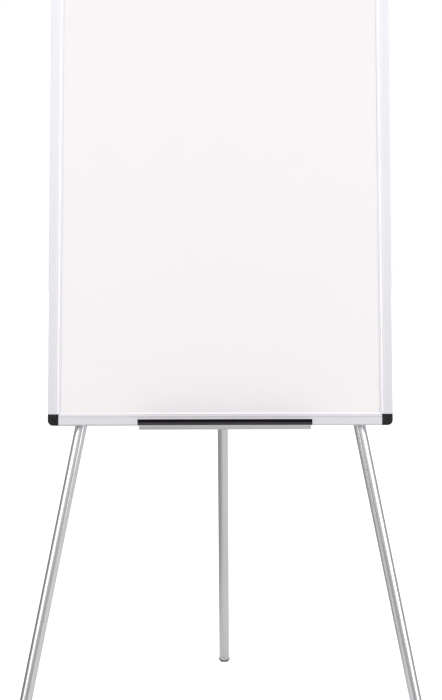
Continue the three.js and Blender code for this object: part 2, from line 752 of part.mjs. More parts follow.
function addLegs(easel, board) {
    for (const [name, side] of [['left_leg', -1], ['right_leg', 1]]) {
        const leg = addGroup(board, side * frontPivotOut, frontLegBack, upperBeamAt);
        leg.rotation.y = -side * frontSplay * degree;
        add(leg, `${name}_head`, frontHeadGeometry(), blackPlastic);
        addTubes(easel, leg, name);
    }
    const rear = addGroup(board, 0, rearPivotBack, upperBeamAt);
    rear.rotation.x = rearOpening * degree;
    add(rear, 'rear_leg_head', rearHeadGeometry(), blackPlastic);
    addTubes(easel, rear, 'rear_leg');
}

// ---- The whole easel ----

function makeEasel() {
    const easel = new THREE.Group();
    const board = addGroup(easel, 0, 0, boardBottom);
    board.rotation.x = -boardLean * degree;
    addRails(board);
    addCaps(board);
    addPanel(board);
    addTray(board);
    addBeams(board);
    addTripodHead(board);
    addLegRests(board);
    addClamp(board);
    addLegs(easel, board);

    const box = new THREE.Box3().setFromObject(easel);
    const middle = box.getCenter(new THREE.Vector3());
    easel.position.set(-middle.x, -middle.y, 0);
    return easel;
}

export default makeEasel();
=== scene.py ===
"""The looks of a folding flipchart easel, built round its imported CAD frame.

Every outline and profile is in millimetres, in the local axes of the part it belongs to. On the board the
origin is the middle of its bottom edge, X runs right, Y back through the board and Z up its face. On a leg
the origin is its pivot and the tubes run down -Z. Long pieces are drawn out along their own Z.
"""

import json
import math

import bmesh
import bpy
from mathutils import Matrix, Vector


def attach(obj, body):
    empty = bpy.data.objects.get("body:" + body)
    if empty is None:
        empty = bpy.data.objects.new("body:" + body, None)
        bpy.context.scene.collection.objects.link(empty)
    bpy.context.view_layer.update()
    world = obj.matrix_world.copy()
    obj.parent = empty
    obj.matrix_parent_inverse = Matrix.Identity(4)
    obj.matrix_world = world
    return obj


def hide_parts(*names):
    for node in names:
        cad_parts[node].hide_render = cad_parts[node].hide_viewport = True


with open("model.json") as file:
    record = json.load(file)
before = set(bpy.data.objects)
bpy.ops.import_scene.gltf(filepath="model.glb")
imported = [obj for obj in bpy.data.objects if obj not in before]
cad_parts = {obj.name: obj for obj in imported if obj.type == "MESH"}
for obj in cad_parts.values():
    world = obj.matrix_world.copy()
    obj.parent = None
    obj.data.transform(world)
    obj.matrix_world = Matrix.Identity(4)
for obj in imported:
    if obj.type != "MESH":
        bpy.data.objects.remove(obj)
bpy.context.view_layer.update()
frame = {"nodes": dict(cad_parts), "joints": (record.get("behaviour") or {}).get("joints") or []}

# ---- Driving dimensions, in millimetres ----

MM = 0.001
GAP = 0.3
BOARD_WIDTH, BOARD_HEIGHT, BOARD_DEPTH = 700, 1000, 18
RAIL_FACE, RAIL_WIDTH, RAIL_BACK_WIDTH = 21.5, 25.6, 17
GROOVE_START, GROOVE_FRONT, GROOVE_BACK = 11, 2.9, 16.4
CAP_RADIUS, CAP_SLOT = 15, 40
TRAY_LENGTH, TRAY_OFFSET, TRAY_WALL = 346, 10, 1.5
TRAY_FRONT, TRAY_DROP, TRAY_LIP_TOP, TRAY_REAR_TOP = 44, 10.8, 5.3, 14
TRIM_LENGTH, TRAY_SCREW_OUT, TRAY_SCREW_UP = 351, 130, 5.5
BEAM_HEIGHT, BEAM_THICKNESS, UPPER_BEAM_AT, LOWER_BEAM_AT = 40, 6, 900, 140
BEAM_SCREW_OUT = BOARD_WIDTH / 2 - 5.5
PLATE_THICKNESS, FRONT_PIVOT_OUT, FRONT_LEG_BACK, REAR_PIVOT_BACK = 3, 110, 42, 45.8
PLATE_WIDTH, PLATE_HEIGHT = 300, 84
FRONT_SPLAY, PIVOT_RADIUS, EAR_THICKNESS, EAR_CLEARANCE = 11, 4, 4, 0.5
UPPER_OUTER, UPPER_INNER, LOWER_OUTER, LOWER_INNER = 13.4, 12.4, 12, 10.9
HEAD_LENGTH, HEAD_HALF, HEAD_BACK, REAR_HEAD_HALF = 34, 14, 12, 14.5
UPPER_REACH, COLLAR_HEIGHT, COLLAR_RADIUS, OVERLAP = 907, 50, 18, 280
FOOT_RADIUS, FOOT_FLANGE = 13.2, 2
CLAMP_LENGTH, HINGE_BACK, HINGE_UP, ROD_RADIUS = 640, 2, 1009, 2.5
BARREL_LENGTH, BARREL_RADIUS, KNUCKLE_LENGTH, BASE_THICKNESS = 400, 5, 80, 3
PEG_OUT, PEG_UP, CLAMP_SCREW_OUT, CLAMP_SCREW_BACK = 210, 985, 290, 12
PEG_RADIUS, PEG_LENGTH, PEG_SLIDE_IN, PEG_SLIDE_OUT = 3, 22, 55, 40
CLAMP_PLATE_FRONT, CLAMP_PLATE_BACK, CLAMP_TOE = -11, -9, 955

# Screws: head radius, head height, shank radius and shank length.
BEAM_SCREW, TRAY_SCREW, CLAMP_SCREW = (4.2, 2.6, 2.2, 11), (4, 2.4, 2, 7), (3.8, 2.2, 1.8, 9)
BOLT_RADIUS, BOLT_HEIGHT = 9, 5

SIDES = (("left", -1), ("right", 1))
BEAM_BACK = BOARD_DEPTH + GAP + BEAM_THICKNESS
PLATE_BACK = BEAM_BACK + GAP + PLATE_THICKNESS

# ---- Local axes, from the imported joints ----

joints = {joint["name"]: joint for joint in frame["joints"]}


def axes(x, y, z, origin):
    """The matrix of local axes x, y and z at an origin, all in the frame's own axes."""
    return Matrix.Translation(origin) @ Matrix((x, y, z)).transposed().to_4x4()


def placed(parent, x=0, y=0, z=0, turn=0, about="X"):
    """A place in a part's axes: millimetres from its origin, turned by some degrees about one axis."""
    spot = Matrix.Translation(Vector((x, y, z)) * MM)
    return parent @ spot @ Matrix.Rotation(math.radians(turn), 4, about)


RIGHT = Vector((1, 0, 0))
THROUGH = -Vector(joints["left_leg_fold"]["axis"])
UP_BOARD = RIGHT.cross(THROUGH)
left_pivot = Vector(joints["left_leg_fold"]["pos_m"])
pivot_on_board = (-FRONT_PIVOT_OUT * RIGHT + FRONT_LEG_BACK * THROUGH + UPPER_BEAM_AT * UP_BOARD) * MM
BOARD = axes(RIGHT, THROUGH, UP_BOARD, left_pivot - pivot_on_board)
CLAMP = placed(BOARD, 0, HINGE_BACK, HINGE_UP)
LYING = Matrix(((0, 0, 1, 0), (1, 0, 0, 0), (0, 1, 0, 0), (0, 0, 0, 1)))


def lying(x=0, y=0, z=0, parent=BOARD):
    """The place of a long piece that lies along X: its outline's X runs to the back and its Y up."""
    return placed(parent, x, y, z) @ LYING


def leg_axes(name):
    """A leg's own axes: its origin on the fold pivot, its Z up the tubes and its Y to the back."""
    up = -Vector(joints[name + "_extend"]["axis"])
    origin = Vector(joints[name + "_fold"]["pos_m"])
    if name == "rear_leg":
        return axes(RIGHT, up.cross(RIGHT), up, origin)
    return axes(THROUGH.cross(up), THROUGH, up, origin)


LEGS = {name: leg_axes(name) for name in ("left_leg", "right_leg", "rear_leg")}

# ---- Outlines ----


def arc(centre_x, centre_y, radius, start, end, steps=8):
    """Points on a circle, from one angle in degrees to another."""
    turns = [math.radians(start + (end - start) * step / steps) for step in range(steps + 1)]
    return [(centre_x + radius * math.cos(turn), centre_y + radius * math.sin(turn)) for turn in turns]


def softened(points, radius, steps=4, closed=True):
    """The outline with each corner rounded off. A point's third number is a radius of its own."""
    result = []
    for index, point in enumerate(points):
        corner = Vector(point[:2])
        own = point[2] if len(point) > 2 else radius
        at_end = not closed and index in (0, len(points) - 1)
        if at_end or own == 0:
            result.append(corner)
            continue
        before = Vector(points[index - 1][:2]) - corner
        after = Vector(points[(index + 1) % len(points)][:2]) - corner
        room = 0.49 * min(before.length, after.length)
        reach = min(own / math.tan(max(before.angle(after), 0.1) / 2), room)
        start = corner + before.normalized() * reach
        end = corner + after.normalized() * reach
        for step in range(steps + 1):
            t = step / steps
            result.append(start * (1 - t) ** 2 + corner * 2 * t * (1 - t) + end * t**2)
    return result


def rounded_box(width, height, radius, steps=6):
    """A rectangle with rounded corners, centred on the origin."""
    x, y = width / 2, height / 2
    return softened([(-x, -y), (x, -y), (x, y), (-x, y)], radius, steps)


def inset(outline, amount):
    """A closed outline moved inwards by an amount."""
    points = [Vector(point) for point in outline]
    area = sum(a.x * b.y - b.x * a.y for a, b in zip(points, points[1:] + points[:1]))
    side = math.copysign(1, area)
    result = []
    for index, point in enumerate(points):
        along = (points[(index + 1) % len(points)] - points[index - 1]).normalized()
        result.append(point + Vector((-along.y, along.x)) * side * amount)
    return result


def bent_sheet(path, thickness):
    """The outline of a bent sheet whose middle follows a path."""
    middle = softened(path, 2.5, 5, closed=False)
    left, right = [], []
    for index, point in enumerate(middle):
        before = middle[max(index - 1, 0)]
        after = middle[min(index + 1, len(middle) - 1)]
        along = (after - before).normalized()
        across = Vector((-along.y, along.x)) * thickness / 2
        left.append(point + across)
        right.append(point - across)
    return left + right[::-1]


# ---- Solids ----


def loft(rings, loop=False):
    """A solid through rings of points, its two ends closed flat, or joined to each other."""
    solid = bmesh.new()
    rows = [[solid.verts.new(point) for point in ring] for ring in rings]
    count = len(rows[0])
    pairs = list(zip(rows, rows[1:])) + ([(rows[-1], rows[0])] if loop else [])
    for first, second in pairs:
        for index in range(count):
            after = (index + 1) % count
            solid.faces.new((first[index], first[after], second[after], second[index]))
    if not loop:
        solid.faces.new(rows[0][::-1])
        solid.faces.new(rows[-1])
    bmesh.ops.recalc_face_normals(solid, faces=solid.faces)
    return solid


def edge_steps(edge, steps=3):
    """How far in and how far along each ring of a rounded edge lies, from the end face outwards."""
    quarter = [math.pi / 2 * step / steps for step in range(steps + 1)]
    return [(edge * (1 - math.sin(turn)), edge * (1 - math.cos(turn))) for turn in quarter]


def drawn(outline, length, edge=0.4, start=None):
    """The outline drawn out along Z with rounded ends, centred on Z = 0 or from a start up."""
    low = -length / 2 if start is None else start
    near = [(inward, low + along) for inward, along in edge_steps(edge)]
    far = [(inward, low + length - along) for inward, along in edge_steps(edge)[::-1]]
    rings = []
    for inward, z in near + far:
        ring = inset(outline, inward) if inward > 1e-6 else outline
        rings.append([(point[0], point[1], z) for point in ring])
    return loft(rings)


def circle(sides):
    """The cosines and sines of evenly spaced turns."""
    turns = [2 * math.pi * side / sides for side in range(sides)]
    return [(math.cos(turn), math.sin(turn)) for turn in turns]


def turned(profile, sides=64, loop=False):
    """A round solid about Z from points of radius and height."""
    return loft([[(radius * x, radius * y, z) for x, y in circle(sides)] for radius, z in profile], loop)


def tube(outer, inner, low, high):
    """A hollow round tube with eased rims."""
    profile = softened([(inner, low), (outer, low), (outer, high), (inner, high)], 0.3, 3)
    return turned(profile, loop=True)


def lobed(radius, height, lobes, depth, edge):
    """A lobed knob about Z with a rounded rim and a shallow dish in its top."""
    outline, per_lobe = [], 18
    for step in range(lobes * per_lobe):
        turn = 2 * math.pi * step / (lobes * per_lobe)
        reach = radius - depth * (0.5 - 0.5 * math.cos(lobes * turn))
        outline.append((reach * math.cos(turn), reach * math.sin(turn)))
    rings = []
    under = [(inward * 0.5, along * 0.5) for inward, along in edge_steps(edge, 5)]
    top = [(inward, height - along) for inward, along in edge_steps(edge, 6)[::-1]]
    for inward, z in under + top:
        rings.append([(*point, z) for point in inset(outline, inward)])
    rim = [Vector(point) for point in inset(outline, edge)]
    for share, drop in ((0.9, 0.05), (0.8, 0.5), (0.74, 0.95), (0.6, 1.1), (0.3, 1.1)):
        rings.append([(point.x * share, point.y * share, height - drop) for point in rim])
    return loft(rings)


def swept(points, radius):
    """A round wire along a line of points."""
    rings = []
    side = Vector((1, 0, 0))
    for index, point in enumerate(points):
        along = (points[min(index + 1, len(points) - 1)] - points[max(index - 1, 0)]).normalized()
        side = (side - along * side.dot(along)).normalized()
        other = along.cross(side)
        rings.append([point + (side * x + other * y) * radius for x, y in circle(10)])
    return loft(rings)


def moved(solid, x=0, y=0, z=0, turn=0, about="X"):
    """The solid turned by some degrees about one axis, then moved."""
    solid.transform(Matrix.Translation((x, y, z)) @ Matrix.Rotation(math.radians(turn), 4, about))
    return solid


def along_x(solid):
    """Lays a solid drawn along Z along X: its outline's X runs to the back and its Y up."""
    solid.transform(LYING)
    return solid


def upright(solid):
    """Turns a solid made in a part's own axes for a place made by lying()."""
    solid.transform(LYING.inverted())
    return solid


def meshed(name, solid):
    """The solid as a mesh. The solid is used up."""
    mesh = bpy.data.meshes.new(name)
    solid.to_mesh(mesh)
    solid.free()
    return mesh


def shown(name, data):
    """A new object in the scene."""
    obj = bpy.data.objects.new(name, data)
    bpy.context.scene.collection.objects.link(obj)
    return obj


def together(*solids):
    """Several solids as one. The later ones are used up."""
    whole = solids[0]
    for solid in solids[1:]:
        passing = meshed("passing", solid)
        whole.from_mesh(passing)
        bpy.data.meshes.remove(passing)
    return whole


def combined(operation, first, *others):
    """The first solid cut by the others, or kept only inside them. All of them are used up."""
    made = [shown("passing", meshed("passing", solid)) for solid in (first, *others)]
    for tool in made[1:]:
        modifier = made[0].modifiers.new("combine", "BOOLEAN")
        modifier.operation = operation
        modifier.solver = "EXACT"
        modifier.object = tool
    depsgraph = bpy.context.evaluated_depsgraph_get()
    result = bmesh.new()
    result.from_mesh(made[0].evaluated_get(depsgraph).to_mesh())
    for obj in made:
        mesh = obj.data
        bpy.data.objects.remove(obj)
        bpy.data.meshes.remove(mesh)
    return result


def cut(first, *tools):
    return combined("DIFFERENCE", first, *tools)


def piece(name, solid, place, body, finish, *nodes):
    """Makes a named piece from a solid in millimetres, which it uses up. It stands for the CAD nodes."""
    material, slot = finish
    solid.transform(Matrix.Scale(MM, 4))
    mesh = meshed(name, solid)
    mesh.shade_smooth()
    mesh.set_sharp_from_angle(angle=math.radians(40))
    mesh.materials.append(material)
    obj = shown(name, mesh)
    obj.matrix_world = place
    weighted = obj.modifiers.new("even shading", "WEIGHTED_NORMAL")
    weighted.keep_sharp = True
    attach(obj, body)
    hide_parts(*nodes)


def fine(node, solid, place, body, finish):
    """Makes the finer piece that stands for a CAD node."""
    piece(node + "_fine", solid, place, body, finish, node)


# ---- Materials ----

ENAMEL_SHADE_LOW, ENAMEL_SHADE_HIGH = 0.7, 1.6             # metres over the floor, between which the enamel's painted shade fades out upwards
SHEEN_BAND_FROM, SHEEN_BAND_TO = -6.2, -4.6      # the soft upper edge of the tray trim's band of painted reflection


class Nodes:
    """The node tree of a world or a material, with short calls for the nodes that it needs."""

    def __init__(self, owner):
        owner.use_nodes = True
        self.tree = owner.node_tree

    def new(self, kind, inputs=None, **settings):
        node = self.tree.nodes.new(kind)
        for key, value in settings.items():
            setattr(node, key, value)
        for key, value in (inputs or {}).items():
            self.feed(node.inputs[key], value)
        return node

    def feed(self, socket, value):
        """Links a node's output to a socket, or sets a plain value on it."""
        if isinstance(value, bpy.types.NodeSocket):
            self.tree.links.new(value, socket)
        else:
            socket.default_value = value

    def split(self, vector):
        """A vector's X, Y and Z."""
        return self.new("ShaderNodeSeparateXYZ", {"Vector": vector}).outputs

    def ranged(self, value, low, high, to_low=0, to_high=1, smooth=True):
        """A value carried from one range to another, held at its ends."""
        inputs = {"Value": value, "From Min": low, "From Max": high, "To Min": to_low, "To Max": to_high}
        kind = "SMOOTHSTEP" if smooth else "LINEAR"
        return self.new("ShaderNodeMapRange", inputs, interpolation_type=kind).outputs["Result"]

    def sum(self, first, second):
        return self.new("ShaderNodeMath", {0: first, 1: second}, operation="ADD").outputs["Value"]

    def product(self, first, second):
        return self.new("ShaderNodeMath", {0: first, 1: second}, operation="MULTIPLY").outputs["Value"]

    def seen_by_camera(self):
        """One where the camera sees a surface itself, and zero in reflections and bounced light."""
        return self.new("ShaderNodeLightPath").outputs["Is Camera Ray"]


class Material(Nodes):
    """A principled material on the object's own coordinates."""

    def __init__(self, name):
        self.material = bpy.data.materials.new(name)
        super().__init__(self.material)
        self.shader = self.tree.nodes["Principled BSDF"]
        self.place = self.new("ShaderNodeTexCoord").outputs["Object"]

    def stretched(self, scale):
        """The object's own coordinates, scaled on each axis."""
        return self.new("ShaderNodeMapping", {"Vector": self.place, "Scale": scale}).outputs["Vector"]

    def noise(self, scale, stretch=(1, 1, 1), detail=4, rough=0.55):
        inputs = {"Vector": self.stretched(stretch), "Scale": scale, "Detail": detail, "Roughness": rough}
        return self.new("ShaderNodeTexNoise", inputs).outputs["Fac"]

    def cells(self, scale, channel, vector):
        """One channel of the random colours of cells: a number of its own in each."""
        colours = self.new("ShaderNodeTexVoronoi", {"Vector": vector, "Scale": scale}).outputs["Color"]
        return self.new("ShaderNodeSeparateColor", {"Color": colours}).outputs[channel]

    def mixed(self, share, first, second):
        """A colour between two others."""
        node = self.new("ShaderNodeMix", {0: share, 6: first, 7: second}, data_type="RGBA")
        return node.outputs[2]

    def bump(self, height, distance):
        return self.new("ShaderNodeBump", {"Height": height, "Distance": distance}).outputs["Normal"]

    def finish(self, **sockets):
        """The material, with each named socket of its shader linked or set."""
        for key, value in sockets.items():
            self.feed(self.shader.inputs[key.replace("_", " ")], value)
        return self.material


def rgb(red, green=None, blue=None):
    """A colour, or a grey from one number."""
    return (red, red if green is None else green, red if blue is None else blue, 1)


def drawn_metal(name, light, dark, rough, scratch=0.0):
    """Metal drawn out along its own Z: hair lines lengthwise, slow cloudiness, and a few long scratches.

    It ranges between two colours and two roughnesses. Scratch is how far the scratches show.
    """
    n = Material(name)
    lines = n.noise(900, (1, 1, 0.002), 6, 0.65)
    clouds = n.noise(9, (1, 1, 0.35), 3)
    scratches = n.ranged(n.noise(210, (1, 1, 0.012), 2, 0.4), 0.71, 0.76, 0, scratch)
    tone = n.sum(n.ranged(lines, 0.3, 0.7, 0, 0.3), n.ranged(clouds, 0.3, 0.7, 0, 0.35))
    colour = n.mixed(tone, rgb(*light), rgb(*dark))
    worn = n.mixed(scratches, colour, rgb(0.95, 0.95, 0.96))
    smoothest, roughest = rough
    base = n.ranged(clouds, 0.3, 0.75, smoothest, (smoothest + roughest) / 2)
    grain = n.ranged(lines, 0.3, 0.75, 0, (roughest - smoothest) / 2)
    return n.finish(
        Base_Color=worn, Metallic=1.0, Roughness=n.sum(base, grain), Normal=n.bump(lines, 0.000012)
    )


def moulded_plastic():
    """Black moulded plastic: a spark-eroded grain, slow gloss changes and a little pale dust in patches."""
    n = Material("black plastic")
    skin = n.noise(1600, detail=3)
    patches = n.noise(38, detail=4)
    dust = n.ranged(n.noise(120, detail=6, rough=0.7), 0.58, 0.78, 0, 0.10)
    black = (0.007, 0.007, 0.0075)
    paler = (2.6 * part + 0.006 for part in black)
    toned = n.mixed(n.ranged(patches, 0.35, 0.7, 0, 0.5), rgb(*black), rgb(*paler))
    dusty = n.mixed(dust, toned, rgb(0.2, 0.19, 0.18))
    gloss = n.sum(n.ranged(patches, 0.3, 0.7, 0.42, 0.54), n.ranged(skin, 0.3, 0.7, 0, 0.06))
    return n.finish(
        Base_Color=dusty, Roughness=gloss, Normal=n.bump(skin, 0.00003), Specular_IOR_Level=0.25
    )


def zinc_steel():
    """Zinc-plated steel: faint crystal spangle, a cool tint and small handling marks."""
    n = Material("zinc plated steel")
    spangle = n.cells(420, "Red", n.place)
    marks = n.noise(600, detail=5)
    tone = n.ranged(spangle, 0, 1, 0, 0.7)
    colour = n.mixed(tone, rgb(0.66, 0.67, 0.69), rgb(0.53, 0.55, 0.585))
    rough = n.sum(n.ranged(spangle, 0, 1, 0.22, 0.32), n.ranged(marks, 0.4, 0.7, 0, 0.1))
    return n.finish(Base_Color=colour, Metallic=1.0, Roughness=rough, Normal=n.bump(marks, 0.00002))


def back_sheet():
    """The galvanised sheet on the board's back: large soft spangle, rolling lines and pale patches."""
    n = Material("galvanised back sheet")
    spangle = n.cells(95, "Green", n.stretched((1, 1, 0.8)))
    lines = n.noise(420, (1, 1, 0.02), 5)
    patches = n.noise(5, detail=4)
    tone = n.sum(n.ranged(spangle, 0, 1, 0, 0.5), n.ranged(patches, 0.35, 0.7, 0, 0.5))
    colour = n.mixed(tone, rgb(0.70, 0.71, 0.725), rgb(0.58, 0.595, 0.615))
    rough = n.sum(n.ranged(spangle, 0, 1, 0.34, 0.44), n.ranged(lines, 0.3, 0.7, 0, 0.1))
    return n.finish(Base_Color=colour, Metallic=0.9, Roughness=rough, Normal=n.bump(lines, 0.00001))


def white_enamel():
    """White enamel with painted shade that makes it a little darker lower down, with faint orange peel and
    wiping marks.
    """
    n = Material("white enamel")
    peel = n.noise(260, detail=2)
    clouds = n.noise(3.5, detail=3)
    wipes = n.noise(22, (1, 1, 0.25), 3, 0.5)
    haze = n.ranged(clouds, 0.2, 0.8, smooth=False)
    # Painted shade: the enamel's colour darkens towards the board's bottom, in both its clean and its used
    # tone.
    low = n.ranged(n.split(n.place)["Z"], ENAMEL_SHADE_LOW, ENAMEL_SHADE_HIGH, 1, 0, smooth=False)
    clean_with_shade = n.mixed(low, rgb(0.867, 0.844, 0.850), rgb(0.856, 0.823, 0.830))
    used = n.mixed(low, rgb(0.863, 0.838, 0.845), rgb(0.850, 0.814, 0.822))
    rough = n.ranged(wipes, 0.2, 0.8, 0.285, 0.325, smooth=False)
    return n.finish(
        Base_Color=n.mixed(haze, clean_with_shade, used), Roughness=rough, Normal=n.bump(peel, 0.00002),
        Specular_IOR_Level=0.4,
    )


def fibreboard():
    """The edge of the fibreboard core: short pressed fibres."""
    n = Material("fibreboard")
    fibres = n.noise(700, (1, 0.25, 1), 8, 0.75)
    colour = n.mixed(n.ranged(fibres, 0.3, 0.7), rgb(0.36, 0.2, 0.09), rgb(0.2, 0.105, 0.045))
    return n.finish(Base_Color=colour, Roughness=0.9, Normal=n.bump(fibres, 0.0002))


def trim_plastic():
    """The tray's edge trim: deep black above and a greyer, softer band along its lower half, the grey a
    painted reflection of the floor.
    """
    n = Material("tray trim")
    # Painted reflection: the lower half, which faces down towards the floor, is painted greyer.
    lower = n.ranged(n.split(n.place)["Y"], SHEEN_BAND_FROM * MM, SHEEN_BAND_TO * MM, 1, 0)
    streaks = n.noise(500, (1, 1, 0.02), 4)
    tone = n.ranged(streaks, 0.35, 0.7)
    black = n.mixed(tone, rgb(0.0040, 0.0018, 0.0030), rgb(0.0070, 0.0044, 0.0060))
    grey = n.mixed(tone, rgb(0.041, 0.039, 0.041), rgb(0.062, 0.059, 0.062))
    rough = n.sum(n.ranged(lower, 0, 1, 0.30, 0.45), n.ranged(streaks, 0.3, 0.7, 0, 0.08))
    return n.finish(
        Base_Color=n.mixed(lower, black, grey), Roughness=rough, Normal=n.bump(streaks, 0.00002),
        Specular_IOR_Level=0.08,
    )


def powder_coat():
    """Black powder coat on steel: a fine leathery texture over slow changes of tone."""
    n = Material("black powder coat")
    leather = n.noise(1300, detail=2)
    drift = n.noise(25, detail=4)
    tone = n.ranged(drift, 0.35, 0.7)
    colour = n.mixed(tone, rgb(0.012, 0.012, 0.013), rgb(0.026, 0.026, 0.027))
    rough = n.sum(n.ranged(drift, 0.3, 0.7, 0.36, 0.46), n.ranged(leather, 0.3, 0.7, 0, 0.14))
    return n.finish(Base_Color=colour, Roughness=rough, Normal=n.bump(leather, 0.00006))


def rubber(name, colour):
    """Dull rubber with a bloom of grey dust and fine pores."""
    n = Material(name)
    pores = n.noise(2200, detail=4)
    bloom = n.noise(90, detail=5)
    paler = tuple(part * 1.7 + 0.012 for part in colour)
    toned = n.mixed(n.ranged(bloom, 0.35, 0.7), rgb(*colour), rgb(*paler))
    rough = n.ranged(bloom, 0.3, 0.7, 0.68, 0.86)
    return n.finish(
        Base_Color=toned, Roughness=rough, Normal=n.bump(pores, 0.00005), Specular_IOR_Level=0.35
    )


# Each finish is a material and the slot that it stands for.
ALUMINIUM = (
    drawn_metal("satin aluminium", (0.885, 0.874, 0.910), (0.80, 0.789, 0.828), (0.35, 0.46)),
    "satin_aluminium",
)
# Painted shade: a darker copy of the satin aluminium for the same slot, used on the tray trough and on the
# clamp's base and bar.
SHADED_ALUMINIUM = (
    drawn_metal("aluminium with painted shade", (0.74, 0.731, 0.757), (0.655, 0.646, 0.672), (0.38, 0.48)),
    "satin_aluminium",
)
TUBE = (
    drawn_metal("silver tube", (0.84, 0.83, 0.85), (0.75, 0.74, 0.77), (0.19, 0.265), scratch=0.25),
    "silver_tube",
)
ZINC = zinc_steel(), "zinc_steel"
PLASTIC = moulded_plastic(), "black_plastic"
TRIM = trim_plastic(), "trim_plastic"
STEEL = powder_coat(), "black_steel"
FOOT = rubber("foot rubber", (0.07, 0.07, 0.071)), "foot_rubber"
GRIP = rubber("grip rubber", (0.05, 0.05, 0.051)), "grip_rubber"

# The frame's own nodes that need no finer shape, only a material.
KEPT_NODES = {
    "writing_sheet": white_enamel(),
    "board_core": fibreboard(),
    "back_sheet": back_sheet(),
    **{leg + "_glide": PLASTIC[0] for leg in LEGS},
}

# ---- The board ----


def rail(full_length):
    """A rail's outside, from one corner cap to the next, its outer edge on Z and its inner ends mitred.

    The face rises a little to a narrow groove, then falls to the sheet. The panel's slot lies behind.
    """
    section = softened([
        (0, 1.5, 0.8), (0.7, 0.5, 0.5), (14.6, 0.5, 1), (17.4, 0.35, 1), (19.5, 0.35, 0.4),
        (20, 1.1, 0.3), (20.9, 1.1, 0.3), (RAIL_FACE, 0.85, 0.4), (RAIL_WIDTH, 1.55, 0.6),
        (RAIL_WIDTH, GROOVE_FRONT, 0.2), (GROOVE_START, GROOVE_FRONT, 0.2),
        (GROOVE_START, GROOVE_BACK, 0.2), (RAIL_BACK_WIDTH, GROOVE_BACK, 0.3),
        (RAIL_BACK_WIDTH, BOARD_DEPTH, 0.5), (0, BOARD_DEPTH, 1.2),
    ], 0.4, 3)
    length = full_length - 2 * (RAIL_FACE + GAP)
    solid = drawn(section, length, 0.15)
    for vertex in solid.verts:
        past_cap = max(0, vertex.co.x - RAIL_FACE)
        vertex.co.z -= math.copysign(past_cap, vertex.co.z)
    return solid


def add_rails():
    """The four rails, each with its outer edge on the board's edge."""
    half, middle = BOARD_WIDTH / 2, BOARD_HEIGHT / 2
    places = {
        "rail_left": (BOARD_HEIGHT, placed(BOARD, -half, 0, middle)),
        "rail_right": (BOARD_HEIGHT, placed(BOARD, half, 0, middle, 180, "Y")),
        "rail_top": (BOARD_WIDTH, placed(BOARD, 0, 0, BOARD_HEIGHT, 90, "Y")),
        "rail_bottom": (BOARD_WIDTH, placed(BOARD, 0, 0, 0, -90, "Y")),
    }
    for node, (length, place) in places.items():
        fine(node, rail(length), place, "board", ALUMINIUM)


def corner_cap():
    """A corner cap, its outer corner at the origin: an eased block with a slot for the panel's corner."""
    side = RAIL_FACE
    outline = softened([(0, 0, CAP_RADIUS), (side, 0, 0.4), (side, side, 0.4), (0, side, 0.4)], 0.4, 12)
    body = moved(drawn(outline, BOARD_DEPTH, 1.1), turn=90)
    moved(body, y=BOARD_DEPTH / 2)
    slot = drawn(rounded_box(CAP_SLOT, CAP_SLOT, 0.5), GROOVE_BACK - GROOVE_FRONT, 0.05)
    middle = GROOVE_START + CAP_SLOT / 2
    moved(slot, middle, (GROOVE_BACK + GROOVE_FRONT) / 2, middle, 90)
    return cut(body, slot)


def add_caps():
    """The four corner caps, each turned to its corner."""
    half = BOARD_WIDTH / 2
    corners = {
        "corner_cap_bottom_left": (-half, 0, 0),
        "corner_cap_top_left": (-half, BOARD_HEIGHT, 90),
        "corner_cap_top_right": (half, BOARD_HEIGHT, 180),
        "corner_cap_bottom_right": (half, 0, -90),
    }
    for node, (x, z, turn) in corners.items():
        fine(node, corner_cap(), placed(BOARD, x, 0, z, turn, "Y"), "board", PLASTIC)


def finish_kept_nodes():
    """Gives the nodes that stay as the frame has them their materials."""
    for node, material in KEPT_NODES.items():
        slots = frame["nodes"][node].data.materials
        slots.clear()
        slots.append(material)


# ---- Fasteners ----


def screw(head_radius, head_height, shank_radius, shank_length):
    """A pan head screw with a cross recess, its head resting on Z = 0."""
    dome = arc(0, 0, 1, 12, 84, 8)
    profile = [(shank_radius, -shank_length), (shank_radius, 0), (head_radius * 0.94, 0)]
    profile += [(head_radius * x**0.8, head_height * (0.25 + 0.75 * y)) for x, y in dome]
    arm, half = head_radius * 0.55, head_radius * 0.13
    cross = [(-arm, -half), (-half, -half), (-half, -arm)]
    for _ in range(3):
        cross += [(-y, x) for x, y in cross[-3:]]
    low = [(x * 0.6, y * 0.6, head_height * 0.35) for x, y in cross]
    high = [(x * 1.05, y * 1.05, head_height * 1.1) for x, y in cross]
    return cut(turned(profile, 40), loft([low, high]))


def hex_bolt(radius, height, shank_radius, shank_length):
    """A hexagon head bolt on a washer, its washer resting on Z = 0."""
    washer = 1.3
    rise = height - washer
    hexagon = softened(arc(0, 0, radius * 0.96, 0, 300, 5), 0.4, 3)
    head = drawn(hexagon, rise, 0.5, washer)
    ring = softened([(shank_radius, 0), (radius, 0), (radius, washer), (shank_radius, washer)], 0.3, 3)
    shoulder = washer + rise * 0.62
    crown = turned([(0.5, washer), (radius, washer), (radius, shoulder), (radius * 0.84, height)], 48)
    shank = turned([(shank_radius, -shank_length), (shank_radius, washer)], 40)
    return together(combined("INTERSECT", head, crown), turned(ring, 48, loop=True), shank)


def pivot_pin():
    """The rear leg's pin, through the ears of the head plate, with a domed head at each end."""
    reach = REAR_HEAD_HALF + EAR_CLEARANCE + EAR_THICKNESS + GAP
    half = softened([
        (PIVOT_RADIUS, 0), (PIVOT_RADIUS, reach, 0.2), (6.5, reach, 0.4), (6.5, reach + 1.8, 1),
        (5, reach + 3, 1.6), (0.4, reach + 3),
    ], 0.3, 5, closed=False)
    return turned([(x, -z) for x, z in half[::-1]] + list(half[1:]), 40)


